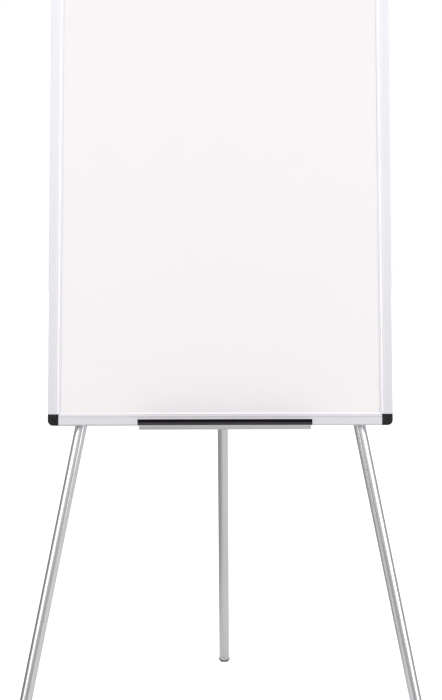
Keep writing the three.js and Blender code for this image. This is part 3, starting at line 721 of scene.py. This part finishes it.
def add_fasteners():
    """The board's screws and bolts, and the rear leg's pin."""
    beam_seat = BEAM_BACK + GAP
    tray_seat = BOARD_DEPTH + 3 * GAP + TRAY_WALL
    clamp_seat = BOARD_HEIGHT + 2 * GAP + BASE_THICKNESS
    bolt_seat = FRONT_LEG_BACK + HEAD_BACK + GAP
    for name, side in SIDES:
        for level, height in (("upper", UPPER_BEAM_AT), ("lower", LOWER_BEAM_AT)):
            node = f"beam_screw_{level}_{name}"
            place = placed(BOARD, side * BEAM_SCREW_OUT, beam_seat, height, -90)
            fine(node, screw(*BEAM_SCREW), place, "board", ZINC)
        node = "tray_screw_" + name
        place = placed(BOARD, TRAY_OFFSET + side * TRAY_SCREW_OUT, tray_seat, TRAY_SCREW_UP, -90)
        fine(node, screw(*TRAY_SCREW), place, "board", ZINC)
        node = "clamp_screw_" + name
        place = placed(BOARD, side * CLAMP_SCREW_OUT, CLAMP_SCREW_BACK, clamp_seat)
        fine(node, screw(*CLAMP_SCREW), place, "board", ZINC)
        node = "front_pivot_bolt_" + name
        place = placed(BOARD, side * FRONT_PIVOT_OUT, bolt_seat, UPPER_BEAM_AT, -90)
        bolt = hex_bolt(BOLT_RADIUS, BOLT_HEIGHT, PIVOT_RADIUS, bolt_seat - BOARD_DEPTH - 2 * GAP)
        fine(node, bolt, place, "board", ZINC)
    place = placed(BOARD, 0, REAR_PIVOT_BACK, UPPER_BEAM_AT, 90, "Y")
    fine("rear_pivot_pin", pivot_pin(), place, "board", ZINC)


# ---- The pen tray ----


def add_tray():
    """The bent trough under the board, hooked behind its bottom rail, and the trim on its front lip."""
    half = TRAY_WALL / 2
    rear_wall = BOARD_DEPTH + 2 * GAP + half
    shelf, floor = -GAP - half, -TRAY_DROP + half
    path = [
        (rear_wall, TRAY_REAR_TOP), (rear_wall, shelf, 1.5), (-3, shelf, 3), (-7.5, floor, 3),
        (-TRAY_FRONT + 7, floor, 5), (-TRAY_FRONT, floor + 6, 5), (-TRAY_FRONT, TRAY_LIP_TOP),
    ]
    trough = drawn(bent_sheet(path, TRAY_WALL), TRAY_LENGTH, 0.25)
    fine("tray_trough", trough, lying(TRAY_OFFSET), "board", SHADED_ALUMINIUM)

    inner = -TRAY_FRONT + half + GAP
    outer = -TRAY_FRONT - half - GAP
    section = softened([
        (outer, -10.9, 0.3), (outer - 1.3, -10.2, 0.8), (outer - 3, -5.4, 2), (outer - 3, -1.1, 1.4),
        (outer - 2.2, 0.5, 1.2), (outer - 0.8, 1.2, 1), (inner + 0.6, 1.2, 0.5), (inner + 1.5, 0.5, 0.5),
        (inner + 1.5, -5.5, 0.4), (inner, -5.5, 0.2), (inner, 0, 0), (outer, 0, 0),
    ], 0.4, 4)
    place = lying(TRAY_OFFSET, z=TRAY_LIP_TOP + GAP)
    fine("tray_lip_trim", drawn(section, TRIM_LENGTH, 0.5), place, "board", TRIM)


# ---- Beams, head plate and leg rests ----


def beam():
    """A flat bar along Z with rounded corners and two shallow grooves down its back."""
    half, depth = BEAM_HEIGHT / 2, BEAM_THICKNESS
    groove = depth - 0.7
    section = softened([
        (0, -half), (depth, -half), (depth, -9, 0.2), (groove, -8.2, 0.2), (groove, -6.8, 0.2),
        (depth, -6, 0.2), (depth, 6, 0.2), (groove, 6.8, 0.2), (groove, 8.2, 0.2), (depth, 9, 0.2),
        (depth, half), (0, half),
    ], 0.7, 4)
    length = BOARD_WIDTH - 2
    bar = drawn(section, length, 0.1)
    corners = drawn(rounded_box(length, BEAM_HEIGHT, 5), depth * 3, 0.1)
    corners.transform(Matrix(((0, 0, 1, 0), (0, 1, 0, 0), (1, 0, 0, 0), (0, 0, 0, 1))))
    return combined("INTERSECT", bar, corners)


def add_beams():
    for node, height in (("beam_upper", UPPER_BEAM_AT), ("beam_lower", LOWER_BEAM_AT)):
        fine(node, beam(), lying(0, BOARD_DEPTH + GAP, height), "board", ALUMINIUM)


def head_plate():
    """The powder-coated head plate with its stop lugs and the two ears of the rear pivot."""
    plate = drawn(rounded_box(PLATE_WIDTH, PLATE_HEIGHT, 12, 10), PLATE_THICKNESS, 0.7)
    moved(plate, 0, PLATE_BACK - PLATE_THICKNESS / 2, -2, 90)
    lug_width = 5
    lug_out = HEAD_HALF + GAP + lug_width / 2
    lugs = []
    for side in (-1, 1):
        for out, turn in ((side * lug_out, side * FRONT_SPLAY), (-side * lug_out, 0)):
            lug = moved(drawn(rounded_box(lug_width, 16, 1.6, 5), 12, 1.2), out, 0, -24, 90)
            lug = moved(lug, turn=-turn, about="Y")
            lugs.append(moved(lug, side * FRONT_PIVOT_OUT, PLATE_BACK + 5.5))
    foot, radius = PLATE_BACK - 0.5, 13
    ear = [(foot, -20), (REAR_PIVOT_BACK, -radius)]
    ear += arc(REAR_PIVOT_BACK, 0, radius, -88, 88, 24) + [(foot, 20)]
    ears, beads = [], []
    for side in (-1, 1):
        out = side * (REAR_HEAD_HALF + EAR_CLEARANCE + EAR_THICKNESS / 2)
        ears.append(moved(along_x(drawn(ear, EAR_THICKNESS, 0.6)), out))
        for face in (-1, 1):
            line = [Vector((out + face * EAR_THICKNESS / 2, PLATE_BACK, z)) for z in range(-19, 20)]
            beads.append(weld_bead(line))
    return together(plate, *lugs, *ears, *beads)


def weld_bead(line):
    """A weld seam along a line: a low bead whose width swells at every ripple."""
    rings = []
    radius = 1.2
    for index, point in enumerate(line):
        at_end = index in (0, len(line) - 1)
        size = radius * (0.3 if at_end else 1 + 0.12 * math.cos(index * math.pi))
        rings.append([point + Vector((x, y * 0.8, 0)) * size for x, y in circle(12)])
    return loft(rings)


def leg_rest(side):
    """A clip that wraps round a splayed leg, open towards the middle, with an eased mouth."""
    hold, wall = UPPER_OUTER + 0.5, 4
    outside = hold + wall
    seat = BEAM_BACK + GAP - FRONT_LEG_BACK
    outline = [(-8, seat), (outside, seat)] + arc(5, 5, outside - 5, 0, 90, 12) + [(-2, outside)]
    outline += arc(0, 0, hold, 98, -90, 40) + [(-8, -hold)]
    outline = [(side * x, y) for x, y in outline]
    return drawn(softened(outline, 0.6, 2), 26, 1.0)


def add_head_and_rests():
    place = placed(BOARD, 0, 0, UPPER_BEAM_AT)
    fine("head_plate", head_plate(), place, "board", STEEL)
    down = UPPER_BEAM_AT - LOWER_BEAM_AT
    out = FRONT_PIVOT_OUT + down * math.tan(math.radians(FRONT_SPLAY))
    for name, side in SIDES:
        place = placed(BOARD, side * out, FRONT_LEG_BACK, LOWER_BEAM_AT, -side * FRONT_SPLAY, "Y")
        fine("leg_rest_" + name, leg_rest(side), place, "board", PLASTIC)


# ---- The paper clamp ----


def spring():
    """A torsion spring round the hinge rod, along Z, with a short tail at each end."""
    turns, steps, radius, wire, length = 7, 26, 4.1, 0.75, 18
    points = [Vector((1.2, -radius + 0.4, -length / 2 - 0.6))]
    for step in range(turns * steps + 1):
        turn = 2 * math.pi * step / steps
        along = length * (step / (turns * steps) - 0.5)
        points.append(Vector((radius * math.sin(turn), -radius * math.cos(turn), along)))
    points.append(Vector((1.2, -radius + 0.4, length / 2 + 0.6)))
    return swept(points, wire)


def sleeve(low, high):
    """A round sleeve on the hinge rod, along Z."""
    section = [(ROD_RADIUS, low), (BARREL_RADIUS, low), (BARREL_RADIUS, high), (ROD_RADIUS, high)]
    return turned(softened(section, 0.5, 4), 48, loop=True)


def add_clamp_base():
    """The strip on the top rail, with a web up to the rod's barrel, and the rod and its springs."""
    under = BOARD_HEIGHT + GAP - HINGE_UP
    top = under + BASE_THICKNESS
    strip = softened([(-2, under), (15.5, under), (15.5, top), (-2, top)], 0.5, 4)
    web = softened([(-1, under + 1), (5, under + 1), (5, 0), (-1, 0)], 0.3, 3)
    barrel = sleeve(-BARREL_LENGTH / 2, BARREL_LENGTH / 2)
    base = together(drawn(strip, CLAMP_LENGTH, 0.4), drawn(web, BARREL_LENGTH, 0.4), barrel)
    place = lying(parent=CLAMP)
    fine("clamp_base", base, place, "board", SHADED_ALUMINIUM)
    end = CLAMP_LENGTH / 2 - 1
    profile = [(0.3, -end), (ROD_RADIUS, -end), (ROD_RADIUS, end), (0.3, end)]
    rod = turned(softened(profile, 0.5, 4, closed=False), 32)
    fine("clamp_rod", rod, place, "board", ZINC)
    out = (BARREL_LENGTH / 2 + CLAMP_LENGTH / 2 - KNUCKLE_LENGTH) / 2
    for name, side in SIDES:
        fine("clamp_spring_" + name, spring(), lying(side * out, parent=CLAMP), "board", ZINC)


def add_clamp_bar():
    """The bar that holds the paper, bent from sheet, with two knuckles on the rod, and its rubber strip."""
    middle = (CLAMP_PLATE_FRONT + CLAMP_PLATE_BACK) / 2 - HINGE_BACK
    toe = CLAMP_TOE - HINGE_UP
    path = [
        (-5.4, 3.4), (middle + 2, 2.9, 2.5), (middle, 0.4, 2.5), (middle, toe + 5, 3), (middle + 3.4, toe),
    ]
    plate = drawn(bent_sheet(path, CLAMP_PLATE_BACK - CLAMP_PLATE_FRONT), CLAMP_LENGTH, 0.4)
    slots = []
    for side in (-1, 1):
        left, right = sorted((side * (PEG_OUT - PEG_SLIDE_IN), side * (PEG_OUT + PEG_SLIDE_OUT)))
        radius = PEG_RADIUS + 0.4
        outline = arc(left, 0, radius, 90, 270, 12) + arc(right, 0, radius, -90, 90, 12)
        slot = moved(drawn(outline, 12, 0.02), 0, middle, PEG_UP - HINGE_UP, 90)
        slots.append(upright(slot))
    solids = [cut(plate, *slots)]
    for side in (-1, 1):
        out = side * (CLAMP_LENGTH - KNUCKLE_LENGTH) / 2
        solids.append(sleeve(out - KNUCKLE_LENGTH / 2, out + KNUCKLE_LENGTH / 2))
        arm = softened([(-8, 1.8), (-3, 1.8), (-3, 4.2), (-8, 4.2)], 0.4, 3)
        solids.append(moved(drawn(arm, KNUCKLE_LENGTH, 0.3), z=out))
    place = lying(parent=CLAMP)
    fine("clamp_bar", together(*solids), place, "clamp", SHADED_ALUMINIUM)

    face = GROOVE_FRONT - HINGE_BACK
    back = middle + 4.8
    section = [
        (back, toe - 4), (face - 1.2, toe - 4), (face, toe - 2.6, 0.5), (face, toe - 1.6, 0.2),
        (face - 0.7, toe - 1.1, 0.2), (face, toe - 0.6, 0.2), (face, toe + 0.4, 0.2),
        (face - 0.7, toe + 0.9, 0.2), (face, toe + 1.4, 0.2), (face, toe + 2.2, 0.5),
        (face - 1.2, toe + 3.6), (back, toe + 3.6),
    ]
    grip = drawn(softened(section, 0.7, 3), CLAMP_LENGTH - 4, 0.5)
    fine("clamp_grip", grip, place, "clamp", GRIP)


def stud(profile, thread_from, thread_to, radius):
    """A turned stud with a screw thread: a helical ridge between two heights."""
    pitch, depth, sides, rows_per_turn = 1.0, 0.32, 36, 8
    rows = int((thread_to - thread_from) / pitch * rows_per_turn)
    rings = []
    for row in range(rows + 1):
        z = thread_from + (thread_to - thread_from) * row / rows
        ends = min(1, min(row, rows - row) / rows_per_turn)
        ring = []
        for side in range(sides):
            phase = (z / pitch - side / sides) % 1
            reach = radius - depth * (1 - ends * (1 - abs(2 * phase - 1)))
            turn = 2 * math.pi * side / sides
            ring.append((reach * math.cos(turn), reach * math.sin(turn), z))
        rings.append(ring)
    return together(turned(profile, sides), loft(rings))


def add_pad_pegs():
    """The pegs in the bar's slots, each with a flange behind the bar and a round knob in front of it."""
    front = CLAMP_PLATE_BACK + GAP
    back = front + 1.6
    for name, side in SIDES:
        hold = softened([
            (PEG_RADIUS, front - 2.5, 0), (PEG_RADIUS, front, 0), (6.5, front, 0.3), (6.5, back, 0.5),
            (4, back, 0.4), (4, -2, 0.6), (3, -1, 0.5), (0.4, -1),
        ], 0.3, 4, closed=False)
        place = placed(BOARD, side * PEG_OUT, 0, PEG_UP, -90)
        node = "pad_peg_" + name
        fine(node, stud(hold, -PEG_LENGTH, front, PEG_RADIUS), place, node, ZINC)
        node = "pad_peg_knob_" + name
        bore = turned([(PEG_RADIUS + GAP, -1), (PEG_RADIUS + GAP, 20)], 32)
        knob = cut(lobed(radius=11, height=13, lobes=8, depth=1, edge=1.6), bore)
        place = placed(BOARD, side * PEG_OUT, CLAMP_PLATE_FRONT - GAP, PEG_UP, 90)
        fine(node, knob, place, node, PLASTIC)


# ---- The legs ----


def leg_neck():
    """The round end of a leg head, just above its upper tube."""
    low, high = -HEAD_LENGTH, -HEAD_LENGTH + 5
    rim = HEAD_HALF - 0.1
    return turned(softened([(0.5, low), (rim, low, 0.4), (rim, high, 0.8), (0.5, high)], 0.4, 4, False), 64)


def front_head():
    """A front leg's head: a rounded block on the pivot with a shallow pocket in each flank."""
    front = PLATE_BACK + GAP - FRONT_LEG_BACK
    depth = HEAD_BACK - front
    outline = arc(0, 0, HEAD_HALF, 0, 180, 32)
    outline += [(-HEAD_HALF, 2 - HEAD_LENGTH), (HEAD_HALF, 2 - HEAD_LENGTH)]
    block = moved(drawn(outline, depth, 1.8), y=(front + HEAD_BACK) / 2, turn=90)
    pockets = []
    for side in (-1, 1):
        pocket = moved(drawn(rounded_box(14, 20, 3), 3, 0.6), turn=90, about="Y")
        pockets.append(moved(pocket, side * HEAD_HALF, -1, -14))
    return together(cut(block, *pockets), leg_neck())


def rear_head():
    """The rear leg's head: a block between the plate's ears, with a heel that meets the plate when open."""
    half, heel = 12.6, 14
    outline = [(-half, 2 - HEAD_LENGTH, 0.5), (half, 2 - HEAD_LENGTH, 0.5)] + arc(0, 0, half, 0, 60, 12)
    outline += [(-4, heel, 2), (-half, heel - 1.2, 1)]
    block = along_x(drawn(softened(outline, 0.2, 3), 2 * REAR_HEAD_HALF, 1.4))
    pocket = moved(drawn(rounded_box(18, 16, 3), 3, 0.6), 0, half, -20, 90)
    return together(cut(block, pocket), leg_neck())


def collar():
    """The clamp collar: a ring with grip grooves and a boss behind it for the knob's stud."""
    bottom = -UPPER_REACH
    top = bottom + COLLAR_HEIGHT
    wide, narrow = UPPER_OUTER + GAP, LOWER_OUTER + GAP
    outside = [(narrow, bottom, 0.6), (COLLAR_RADIUS, bottom, 1.6)]
    for groove in (bottom + 5, bottom + 8, top - 12, top - 9):
        outside += [(COLLAR_RADIUS, groove - 0.7, 0.2), (COLLAR_RADIUS - 0.8, groove, 0.3),
                    (COLLAR_RADIUS, groove + 0.7, 0.2)]
    outside += [(COLLAR_RADIUS, top - 3, 1.5), (COLLAR_RADIUS - 2, top, 0.8), (wide, top, 0.4),
                (wide, bottom + 6, 0.2), (narrow, bottom + 6, 0.2)]
    body = turned(softened(outside, 0.3, 4), 72, loop=True)
    middle = bottom + COLLAR_HEIGHT / 2
    boss = [(4.4, 15.5, 0), (12.5, 15.5, 0), (10.4, 19, 3), (9.8, 24, 0.8), (4.4, 24, 0.4)]
    boss = turned(softened(boss, 0.2, 5), 56, loop=True)
    return together(body, moved(boss, z=middle, turn=-90))


def clamp_knob():
    """The lobed clamp knob about Z, with its hub, its stud and the stud's end in the middle of its top."""
    end = LOWER_OUTER + 0.5
    rod = turned(softened([(0.4, end), (4, end, 0.6), (4, 28)], 0.4, 4, closed=False), 32)
    hub = turned(softened([(3, 24.6), (8, 24.6, 0.6), (8.8, 29)], 0.3, 4, closed=False), 48)
    return together(moved(lobed(radius=17, height=15, lobes=6, depth=3, edge=2.4), z=27), rod, hub)


def knob_button():
    """The steel end of the stud, flush in the knob's dished top."""
    return turned(softened([(3.4, 39), (3.4, 41.4, 0.5), (0.4, 41.6)], 0.3, 4, closed=False), 32)


def foot(place, flange_at):
    """A rubber foot: a plug, a flange as wide as the tube's rim and a dome cut flat by the floor."""
    plug = LOWER_INNER - GAP - 0.1
    dome = 8
    sphere = (FOOT_RADIUS**2 + dome**2) / (2 * dome)
    widest = math.degrees(math.asin(FOOT_RADIUS / sphere))
    profile = arc(0, flange_at - dome + sphere, sphere, -88, widest - 90, 20)
    top = flange_at + FOOT_FLANGE
    profile += softened([
        (FOOT_RADIUS, flange_at + 0.1), (FOOT_RADIUS, flange_at + 0.5, 0.2),
        (FOOT_RADIUS - 0.4, flange_at + 0.8, 0.2), (FOOT_RADIUS, flange_at + 1.1, 0.2),
        (FOOT_RADIUS, top, 0.6), (plug, top, 0.2), (plug, top + 20, 1), (0.5, top + 20),
    ], 0.3, 4, closed=False)
    solid = turned(profile, 64)
    to_row = place @ Matrix.Scale(MM, 4)
    solid.transform(to_row)
    geometry = solid.verts[:] + solid.edges[:] + solid.faces[:]
    floor = bmesh.ops.bisect_plane(
        solid, geom=geometry, plane_co=(0, 0, 0), plane_no=(0, 0, -1), clear_outer=True, dist=1e-7
    )
    rim = [item for item in floor["geom_cut"] if isinstance(item, bmesh.types.BMEdge)]
    bmesh.ops.contextual_create(solid, geom=rim)
    solid.transform(to_row.inverted())
    return solid


def add_legs():
    """Each leg's head, upper tube, collar and knob, and the lower tube and foot that slide with it."""
    for name, place in LEGS.items():
        head = rear_head() if name == "rear_leg" else front_head()
        fine(name + "_head", head, place, name, PLASTIC)
        upper = tube(UPPER_OUTER, UPPER_INNER, 6 + GAP - UPPER_REACH, -HEAD_LENGTH - GAP)
        fine(name + "_upper_tube", upper, place, name, TUBE)
        fine(name + "_collar", collar(), place, name, PLASTIC)
        knob_place = placed(place, z=COLLAR_HEIGHT / 2 - UPPER_REACH, turn=-90)
        node = name + "_clamp_knob"
        fine(node, clamp_knob(), knob_place, name + "_knob", PLASTIC)
        piece(node + "_button", knob_button(), knob_place, name + "_knob", ZINC)

        up = place.to_3x3() @ Vector((0, 0, 1))
        length = place.translation.z / up.z / MM
        flange_at = FOOT_RADIUS * math.tan(math.acos(up.z)) + 0.8 - length
        lower = tube(LOWER_OUTER, LOWER_INNER, flange_at + FOOT_FLANGE + GAP, OVERLAP - UPPER_REACH)
        fine(name + "_lower_tube", lower, place, name + "_lower", TUBE)
        fine(name + "_foot", foot(place, flange_at), place, name + "_lower", FOOT)


# ---- The stage: floor, light and camera ----

FLOOR_REACH = 60                        # metres from the middle to each side
SHADE_LEFT, SHADE_RIGHT = -0.6, 0.1     # metres across, between which the floor's painted shade fades out
SHADE_FRONT, SHADE_BACK = -0.8, -0.2    # metres from front to back, between which it fades in
FLOOR_LIFT, FLOOR_FILL = 0.70, 0.90     # how far both glow to the camera alone: the lit one, the shaded one

SKY_LOW, SKY_HIGH = 0.22, 1.17          # the studio's brightness near the horizon and above it
SKY_FROM, SKY_TO = 0.05, 0.46           # the heights, as sines, between which it changes
SKY_RIGHT = 0.50                        # its brightness near the horizon on the right
RIGHT_FROM, RIGHT_TO = 0.3, 0.9         # how far to the right, as sines, it changes to that
SKY_BEHIND = 0.60                       # the share of it that is left behind the easel
BEHIND_FROM, BEHIND_TO = -0.75, 0.35    # how far back, as sines, it falls to that

# Name, azimuth in degrees, then in metres distance, height and size, then power in watts
SOFTBOXES = (
    ("softbox left", -47, 3.8, 2.3, (1.8, 2.8), 36),
    ("softbox right", 49, 3.8, 2.2, (2.2, 2.8), 41),
    ("softbox behind", 160, 3.6, 2.3, (3.0, 2.0), 19),
)
EASEL_MIDDLE = 0.95                     # metres over the floor, where they aim

# Metres, millimetres and degrees
CAMERA_PLACE, CAMERA_LENS = (0.0405, -4.833, 0.995), 111.8
CAMERA_PITCH, CAMERA_YAW, CAMERA_ROLL = -2.402, 0.5, -0.15


def add_floor():
    """A wide pale floor with painted shade on the left behind the front legs, and white to the camera."""
    n = Material("pale floor")
    spot = n.split(n.place)
    # Painted shade: the floor's colour is darker on the left, near and behind the easel.
    left = n.ranged(spot["X"], SHADE_LEFT, SHADE_RIGHT, 1, 0)
    shade = n.product(left, n.ranged(spot["Y"], SHADE_FRONT, SHADE_BACK))
    lit = n.mixed(n.ranged(n.noise(1.5, detail=3), 0.3, 0.7), rgb(0.67), rgb(0.65))
    glow = n.ranged(shade, 0, 1, FLOOR_LIFT, FLOOR_FILL, smooth=False)
    material = n.finish(
        Base_Color=n.mixed(shade, lit, rgb(0.33)), Roughness=0.9,
        Emission_Color=rgb(1), Emission_Strength=n.product(n.seen_by_camera(), glow),
    )
    solid = bmesh.new()
    corners = ((-1, -1), (1, -1), (1, 1), (-1, 1))
    solid.faces.new([solid.verts.new((x * FLOOR_REACH, y * FLOOR_REACH, 0)) for x, y in corners])
    obj = shown("floor", meshed("floor", solid))
    obj.data.materials.append(material)


def add_surroundings():
    """A soft studio: bright above and in front, darker low down and behind, and white to the camera."""
    world = bpy.data.worlds.new("studio")
    bpy.context.scene.world = world
    n = Nodes(world)
    toward = n.split(n.new("ShaderNodeTexCoord").outputs["Generated"])
    low = n.ranged(toward["X"], RIGHT_FROM, RIGHT_TO, SKY_LOW, SKY_RIGHT)
    rise = n.ranged(toward["Z"], SKY_FROM, SKY_TO, low, SKY_HIGH)
    front = n.ranged(toward["Y"], BEHIND_FROM, BEHIND_TO, 1, SKY_BEHIND)
    studio = n.product(rise, front)
    strength = n.new("ShaderNodeMix", {0: n.seen_by_camera(), 2: studio, 3: 1.0}).outputs[0]
    background = n.tree.nodes["Background"]
    n.feed(background.inputs["Color"], rgb(1))
    n.feed(background.inputs["Strength"], strength)


def add_softbox(name, azimuth, distance, height, size, power):
    """An area light aimed at the easel's middle. Its azimuth goes from 0 in front to the right."""
    light = bpy.data.lights.new(name, "AREA")
    light.shape = "RECTANGLE"
    light.size, light.size_y = size
    light.energy = power
    obj = shown(name, light)
    turn = math.radians(azimuth)
    obj.location = (distance * math.sin(turn), -distance * math.cos(turn), height)
    aim = Vector((0, 0, EASEL_MIDDLE)) - obj.location
    obj.rotation_euler = aim.to_track_quat("-Z", "Y").to_euler()


def add_camera():
    camera = bpy.data.cameras.new("camera")
    camera.lens = CAMERA_LENS
    camera.sensor_width = 36
    obj = shown("camera", camera)
    pitch, yaw, roll = (math.radians(angle) for angle in (CAMERA_PITCH, CAMERA_YAW, CAMERA_ROLL))
    level = Matrix.Rotation(yaw, 4, "Z") @ Matrix.Rotation(math.pi / 2 + pitch, 4, "X")
    obj.matrix_world = Matrix.Translation(CAMERA_PLACE) @ (level @ Matrix.Rotation(roll, 4, "Z"))
    bpy.context.scene.camera = obj


add_rails()
add_caps()
finish_kept_nodes()
add_fasteners()
add_tray()
add_beams()
add_head_and_rests()
add_clamp_base()
add_clamp_bar()
add_pad_pegs()
add_legs()
add_floor()
add_surroundings()
for softbox in SOFTBOXES:
    add_softbox(*softbox)
add_camera()
bpy.context.scene.view_settings.view_transform = "Standard"
